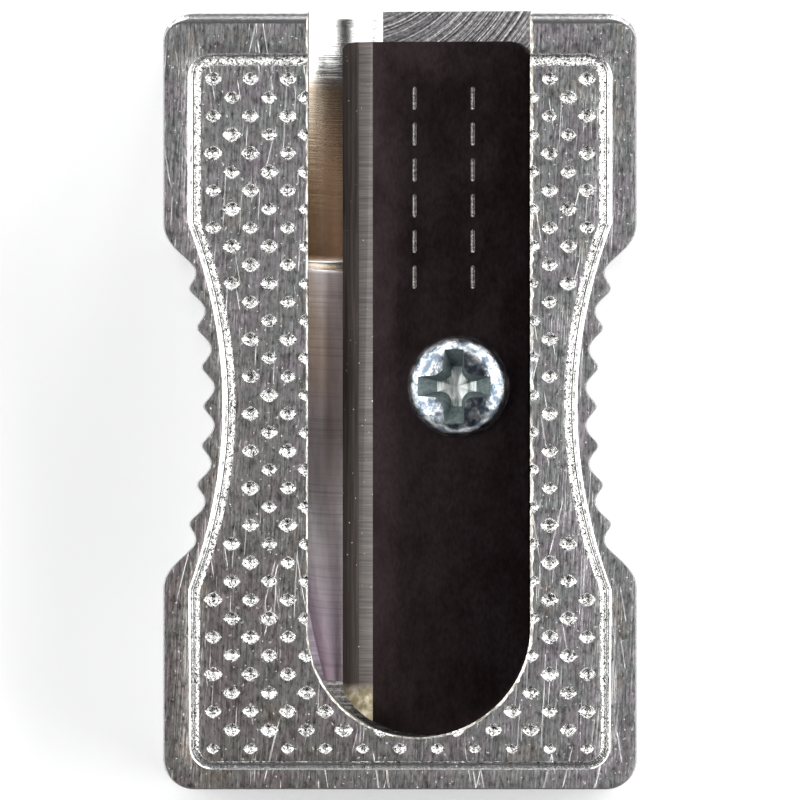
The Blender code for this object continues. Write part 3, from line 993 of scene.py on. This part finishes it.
def scratches(nodes, turn, spacing, stretch, threshold):
    """Thin lines, mostly along y: 1 on a scratch and 0 beside it."""
    place = nodes.mapped((spacing, spacing / stretch, spacing), (0, 0, turn))
    lines = nodes.noise(place, 1.0, 1, 0.4)
    return nodes.ramp(lines, (threshold, 0), (threshold + 0.03, 1))


def deck_material():
    """The scratched, mottled flats of the deck, brighter towards the right and the front through
    painted shade on the left and rear.
    """
    nodes = Nodes("deck_metal")
    parts = nodes.split(nodes.place)
    fine = nodes.noise(nodes.mapped((1, 0.4, 1)), 10, 3, 0.7)
    patches = nodes.noise(nodes.mapped((1, 0.6, 1)), 3.0, 5, 0.65)
    broad = nodes.noise(nodes.mapped((1, 0.7, 1)), 0.8, 3)
    tint = nodes.ramp(broad, (0.38, (0.97, 0.90, 0.95)), (0.48, (0.95, 0.92, 0.93)),
                      (0.57, (0.89, 0.93, 0.92)), (0.66, (0.97, 0.92, 0.86)))
    brushed = nodes.noise(nodes.mapped((1, 0.05, 1), (0, 0, 3)), 15, 3)
    grain = nodes.ramp(fine, (0.32, 0.30), (0.46, 0.82), (0.58, 1.0))
    colour = nodes.times(tint, grain)
    colour = nodes.times(colour, nodes.ramp(brushed, (0.36, 0.52), (0.56, 1.0)))
    colour = nodes.times(colour, nodes.ramp(patches, (0.34, 0.40), (0.50, 0.90), (0.60, 1.0)))
    # Painted shade: the flats darken towards the left and the rear, where less light falls.
    across = nodes.math("MULTIPLY_ADD", parts["X"], 0.5 / WIDTH, 0.5)
    towards_lit_corner = nodes.math("MULTIPLY_ADD", parts["Y"], 0.5 / LENGTH, across)
    painted_corner_shade = nodes.ramp(towards_lit_corner, (0.15, (0.72, 0.67, 0.64)), (0.42, (0.94, 0.92, 0.92)),
                      (0.70, (1.0, 1.0, 1.0)))
    colour = nodes.times(colour, painted_corner_shade)
    lines = scratches(nodes, 3, 16, 60, 0.72)
    for turn, spacing, threshold in ((-9, 12, 0.74), (14, 9, 0.75)):
        lines = nodes.mix(1.0, lines, scratches(nodes, turn, spacing, 40, threshold), "LIGHTEN")
    nicks = nodes.ramp(nodes.noise(nodes.mapped((1, 0.8, 1)), 8, 1), (0.71, 0), (0.74, 1))
    marks = nodes.mix(1.0, lines, nicks, "LIGHTEN")
    colour = nodes.mix(nodes.math("MULTIPLY", marks, 0.75), colour, (0.97, 0.96, 0.95))
    height = nodes.math("MULTIPLY_ADD", marks, -0.6, nodes.math("ADD", brushed, patches))
    rough = nodes.math("MULTIPLY_ADD", patches, -0.25, 0.50)
    return nodes.finish(colour, rough, nodes.bump(height, 0.013))


def side_material():
    """The sides and underside, drawn out along z."""
    nodes = Nodes("side_metal")
    fine = nodes.noise(nodes.mapped((1, 1, 0.15)), 12)
    broad = nodes.noise(nodes.mapped(), 0.8, 3)
    tint = nodes.ramp(broad, (0.40, (0.46, 0.44, 0.45)), (0.60, (0.43, 0.45, 0.44)))
    grain = nodes.ramp(fine, (0.35, 0.60), (0.65, 1.0))
    colour = nodes.times(tint, grain)
    rough = nodes.math("MULTIPLY_ADD", fine, -0.2, 0.50)
    return nodes.finish(colour, rough, nodes.bump(fine, 0.006))


def plain_metal(name, origin, stretch, noise, roughness, depth, *stops):
    """A metal tinted and dented by one noise, given as its scale, detail and roughness."""
    nodes = Nodes(name, origin)
    fine = nodes.noise(nodes.mapped(stretch), *noise)
    return nodes.finish(nodes.ramp(fine, *stops), roughness, nodes.bump(fine, depth))


def pressed_material():
    """The bright, torn metal of the dimples and of the groove's inner wall."""
    return plain_metal("pressed_metal", DECK, (1, 1, 1), (12, 4, 0.6), 0.26, 0.03,
                       (0.41, (0.10, 0.09, 0.09)), (0.47, (0.84, 0.83, 0.80)),
                       (0.6, (0.98, 0.98, 0.97)))


def smooth_material():
    """The groove's outer wall and the top of the front edge, rubbed smooth."""
    return plain_metal("smooth_metal", DECK, (1, 1, 1), (10, 3, 0.5), 0.24, 0.006,
                       (0.35, (0.80, 0.79, 0.78)), (0.6, (0.97, 0.97, 0.96)))


def cut_material():
    """Machined walls."""
    return plain_metal("cut_metal", DECK, (1, 0.3, 1), (14, 3, 0.5), 0.36, 0.006,
                       (0.35, (0.50, 0.48, 0.46)), (0.65, (0.78, 0.75, 0.72)))


def edge_material():
    """The bright broken edge of the pocket."""
    return plain_metal("edge_metal", DECK, (1, 0.5, 1), (7, 3, 0.6), 0.30, 0.02,
                       (0.38, (0.42, 0.38, 0.32)), (0.55, (0.96, 0.94, 0.88)))


def slot_material():
    """The slot's floor, marked across like the cone."""
    return plain_metal("slot_metal", DECK, (0.05, 10, 0.05), (1.0, 4, 0.75), 0.30, 0.01,
                       (0.35, (0.42, 0.38, 0.41)), (0.65, (0.80, 0.74, 0.80)))


def seat_material():
    """The milled seat, swept by the arcs of the cutter."""
    nodes = Nodes("milled_metal")
    centred = nodes.add("ShaderNodeVectorMath", operation="SUBTRACT")
    nodes.put(centred.inputs[0], nodes.place)
    centred.inputs[1].default_value = SWEEP_CENTRE
    away = nodes.add("ShaderNodeVectorMath", operation="LENGTH")
    nodes.put(away.inputs[0], nodes.mapped((1, 1, 0), source=centred.outputs[0]))
    radius = nodes.add("ShaderNodeCombineXYZ")
    nodes.put(radius.inputs[0], away.outputs["Value"])
    sweep = nodes.noise(radius.outputs[0], 9, 4, 0.7)
    fine = nodes.noise(nodes.mapped(), 10)
    colour = nodes.ramp(sweep, (0.38, (0.10, 0.10, 0.11)), (0.50, (0.34, 0.33, 0.34)),
                        (0.62, (0.95, 0.93, 0.88)))
    colour = nodes.times(colour, nodes.ramp(fine, (0.4, 0.25), (0.56, 1.0)), 0.7)
    return nodes.finish(colour, 0.28, nodes.bump(sweep, 0.06))


def bore_material():
    """The bored guide: rings round its axis, brown in the bore as a painted reflection, dark then
    lilac down the cone, as painted shade near the screw and under the blade over its own lilac,
    with painted highlights at the step and the mouth.
    """
    nodes = Nodes("bored_metal")
    along = nodes.mapped(turn=(math.degrees(CONE_HALF_ANGLE), 0, 0))
    rings = nodes.noise(nodes.mapped((0.05, 8, 0.05), source=along), 1.0, 4, 0.8)
    streaks = nodes.noise(nodes.mapped((5, 0.06, 5), source=along), 1.0, 3)
    parts = nodes.split(along)
    start = CONE_POINT_Y * math.cos(CONE_HALF_ANGLE) + EDGE_DEPTH * math.sin(CONE_HALF_ANGLE)
    share = nodes.math("MULTIPLY_ADD", parts["Y"], 1 / LENGTH, -start / LENGTH)
    step, bore, mouth = (place / LENGTH for place in (CONE_END, GUIDE_START, MOUTH_START))
    # Pale: a painted highlight, used at the drilled step and at the mouth.
    pale = (0.95, 0.94, 0.91)
    sharp, soft = 0.003, 0.03

    def down_the_guide(cone, at_step, at_bore, at_mouth):
        """The tints of one side, from the cone's point to the mouth, mostly painted light: a
        painted highlight at the step and at the mouth, and a painted reflection in the bore.
        """
        return nodes.ramp(share, (0.14, (1.0, 0.88, 0.96)), *cone, (step, at_step),
                          (step + sharp, pale), (bore, pale), (bore + sharp, at_bore),
                          (mouth - soft, at_mouth), (mouth, pale))

    # Left of the cutting edge: lilac, a painted shade near the screw, then the bore's brown
    # painted reflection.
    left = down_the_guide(((0.22, (0.99, 0.90, 0.99)), (0.34, (0.96, 0.98, 1.0)),
                           (0.46, (0.66, 0.66, 0.70))),
                          (0.63, 0.63, 0.68), (0.47, 0.38, 0.29), (0.48, 0.40, 0.31))
    # Right of it, under the blade: a deeper painted shade near the screw and a darker brown
    # painted reflection.
    right = down_the_guide(((0.22, (1.0, 0.93, 1.0)), (0.36, (1.0, 0.98, 1.0)),
                            (0.47, (0.33, 0.30, 0.31))),
                           (0.31, 0.28, 0.29), (0.40, 0.27, 0.17), (0.42, 0.31, 0.21))
    # Blends from the left tints to the right ones, whose painted shade falls under the blade.
    side = nodes.ramp(nodes.math("SUBTRACT", parts["X"], EDGE_X - 1), (0.30, 0), (0.50, 1))
    tint = nodes.mix(side, left, right)
    colour = nodes.times(tint, nodes.ramp(rings, (0.36, 0.45), (0.50, 1.0)), 0.4)
    colour = nodes.times(colour, nodes.ramp(streaks, (0.40, 0.45), (0.58, 1.0)), 0.2)
    rough = nodes.ramp(share, (0.34, 0.38), (0.46, 0.32), (step, 0.32), (step + sharp, 0.16),
                       (bore + 0.01, 0.26), (mouth - soft, 0.22), (mouth, 0.10))
    return nodes.finish(colour, rough, nodes.bump(rings, 0.008))


def blade_material():
    """Blackened steel, slightly blotched."""
    nodes = Nodes("blued_steel", SEAT)
    broad = nodes.noise(nodes.mapped((1, 0.6, 1)), 0.7)
    fine = nodes.noise(nodes.mapped((1, 0.5, 1)), 10, 4, 0.7)
    colour = nodes.ramp(broad, (0.40, (0.027, 0.018, 0.019)), (0.60, (0.041, 0.030, 0.032)))
    colour = nodes.times(colour, nodes.ramp(fine, (0.35, 0.5), (0.65, 1.0)), 0.6)
    rough = nodes.math("MULTIPLY_ADD", fine, 0.2, 0.30)
    return nodes.finish(colour, rough, nodes.bump(fine, 0.003))


def facet_material(name, dark, light, lined_along, roughness):
    """A ground facet of the blade, lined along or across, with a straw tint at its far end."""
    nodes = Nodes(name, SEAT)
    lines = nodes.noise(nodes.mapped((9, 0.25, 9) if lined_along else (0.4, 16, 0.4)), 1.0, 4, 0.7)
    specks = nodes.ramp(nodes.noise(nodes.mapped(), 9, 1), (0.76, 0), (0.79, 1))
    colour = nodes.ramp(lines, (0.35, dark), (0.65, light))
    colour = nodes.mix(specks, colour, (0.80, 0.78, 0.75))
    parts = nodes.split(nodes.place)
    share = nodes.math("MULTIPLY_ADD", parts["Y"], -1, STRAW_FROM)
    straw = nodes.ramp(share, (0.0, 0), (0.5, 1))
    tint = nodes.ramp(nodes.noise(nodes.mapped(), 2.5, 3), (0.40, (0.42, 0.36, 0.22)),
                      (0.60, (0.95, 0.90, 0.72)))
    return nodes.finish(nodes.mix(straw, colour, tint), roughness, nodes.bump(lines, 0.003))


def back_material():
    """The blade's flat back, bright where it was ground."""
    return plain_metal("ground_back", SEAT, (0.4, 14, 0.4), (1.0, 4, 0.7), 0.30, 0.003,
                       (0.35, (0.55, 0.53, 0.54)), (0.65, (0.78, 0.76, 0.77)))


def engraved_material():
    """The bottom of the engraved dashes, where the finish is thinner."""
    nodes = Nodes("engraved_steel", SEAT)
    fine = nodes.noise(nodes.mapped(), 12, 3)
    colour = nodes.ramp(fine, (0.4, (0.30, 0.28, 0.27)), (0.6, (0.70, 0.67, 0.65)))
    return nodes.finish(colour, 0.25)


def plating_material():
    """Bright zinc, faintly blue, scuffed by the driver."""
    nodes = Nodes("zinc_plating", AXIS)
    fine = nodes.noise(nodes.mapped(), 3, 6, 0.65)
    colour = nodes.ramp(fine, (0.42, (0.16, 0.20, 0.25)), (0.51, (0.50, 0.56, 0.62)),
                        (0.60, (0.93, 0.95, 0.96)))
    rough = nodes.math("MULTIPLY_ADD", fine, 0.15, 0.14)
    return nodes.finish(colour, rough, nodes.bump(fine, 0.03))


def recess_material():
    """The recess's dull walls, their dark colour a painted shade."""
    return plain_metal("recess_zinc", AXIS, (1, 1, 1), (8, 4, 0.6), 0.70, 0.01,
                       (0.38, (0.15, 0.19, 0.19)), (0.60, (0.24, 0.29, 0.29)))


def recess_floor_material():
    """The recess's floor, polished by the driver's tip, with a dark streak."""
    return plain_metal("recess_floor_zinc", AXIS, (3.5, 0.8, 1), (1.0, 4, 0.6), 0.52, 0.01,
                       (0.36, (0.10, 0.12, 0.12)), (0.46, (0.52, 0.56, 0.54)),
                       (0.60, (0.80, 0.82, 0.80)))


# ---- stage

def add_floor():
    """A plain pale floor."""
    size = 1.5
    mesh = bpy.data.meshes.new("floor")
    mesh.from_pydata([(-size, -size, 0), (size, -size, 0), (size, size, 0), (-size, size, 0)],
                     [], [(0, 1, 2, 3)])
    floor = linked("floor", mesh)
    floor.location.z = cad_box[0].z
    material = bpy.data.materials.new("floor_white")
    material.use_nodes = True
    shader = material.node_tree.nodes["Principled BSDF"]
    settings = {"Base Color": (0.94, 0.94, 0.94, 1), "Roughness": 0.9, "Specular IOR Level": 0.1,
                "Emission Color": (1, 1, 1, 1), "Emission Strength": 0.20}
    for name, value in settings.items():
        shader.inputs[name].default_value = value
    mesh.materials.append(material)


def add_softbox(name, azimuth, elevation, width, height, distance, power):
    """A soft light that faces the sharpener. Azimuth runs anticlockwise from +X, in degrees."""
    light = bpy.data.lights.new(name, "AREA")
    light.shape = "RECTANGLE"
    light.size = width
    light.size_y = height
    light.energy = power
    lamp = linked(name, light)
    turn, rise = math.radians(azimuth), math.radians(elevation)
    towards = Vector((math.cos(turn) * math.cos(rise), math.sin(turn) * math.cos(rise),
                      math.sin(rise)))
    middle = (cad_box[0] + cad_box[1]) / 2
    lamp.location = middle + towards * distance
    lamp.rotation_euler = towards.to_track_quat("Z", "Y").to_euler()


def add_lights():
    """Soft light from both sides and, in two halves, from beyond the mouth; a dim surround."""
    add_softbox("left_light", 176, 30, 0.60, 0.34, 0.35, 1.72)
    add_softbox("right_light", 8, 33, 0.62, 0.36, 0.35, 2.10)
    add_softbox("front_left_light", 111, 33, 0.08, 0.28, 0.35, 0.20)
    add_softbox("front_right_light", 73, 33, 0.08, 0.28, 0.35, 0.20)
    world = bpy.data.worlds.new("surround")
    world.use_nodes = True
    world.node_tree.nodes["Background"].inputs["Color"].default_value = (0.07, 0.07, 0.075, 1)
    bpy.context.scene.world = world


def add_camera():
    """A long lens, square to the deck and centred on it."""
    distance = 0.5
    view_width = 0.02567
    camera = bpy.data.cameras.new("camera")
    camera.sensor_width = 36
    camera.lens = camera.sensor_width * distance / view_width
    camera.clip_start = 0.05
    camera.clip_end = 10
    result = linked("camera", camera)
    turn = DECK.to_3x3().normalized()
    out = turn @ Vector((0, 0, 1))
    result.matrix_world = Matrix.Translation(DECK.translation + out * distance) @ turn.to_4x4()
    bpy.context.scene.camera = result


# ---- assembly

def main():
    """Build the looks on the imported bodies."""
    pieces = (
        (make_body(), "body", "body_metal"),
        (make_blade(), "blade", "blade_steel"),
        (make_screw(), "screw", "screw_plating"),
    )
    for piece, node, slot in pieces:
        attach(piece, node)
        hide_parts(node)
    add_floor()
    add_lights()
    add_camera()
    bpy.context.scene.view_settings.view_transform = "Standard"


main()
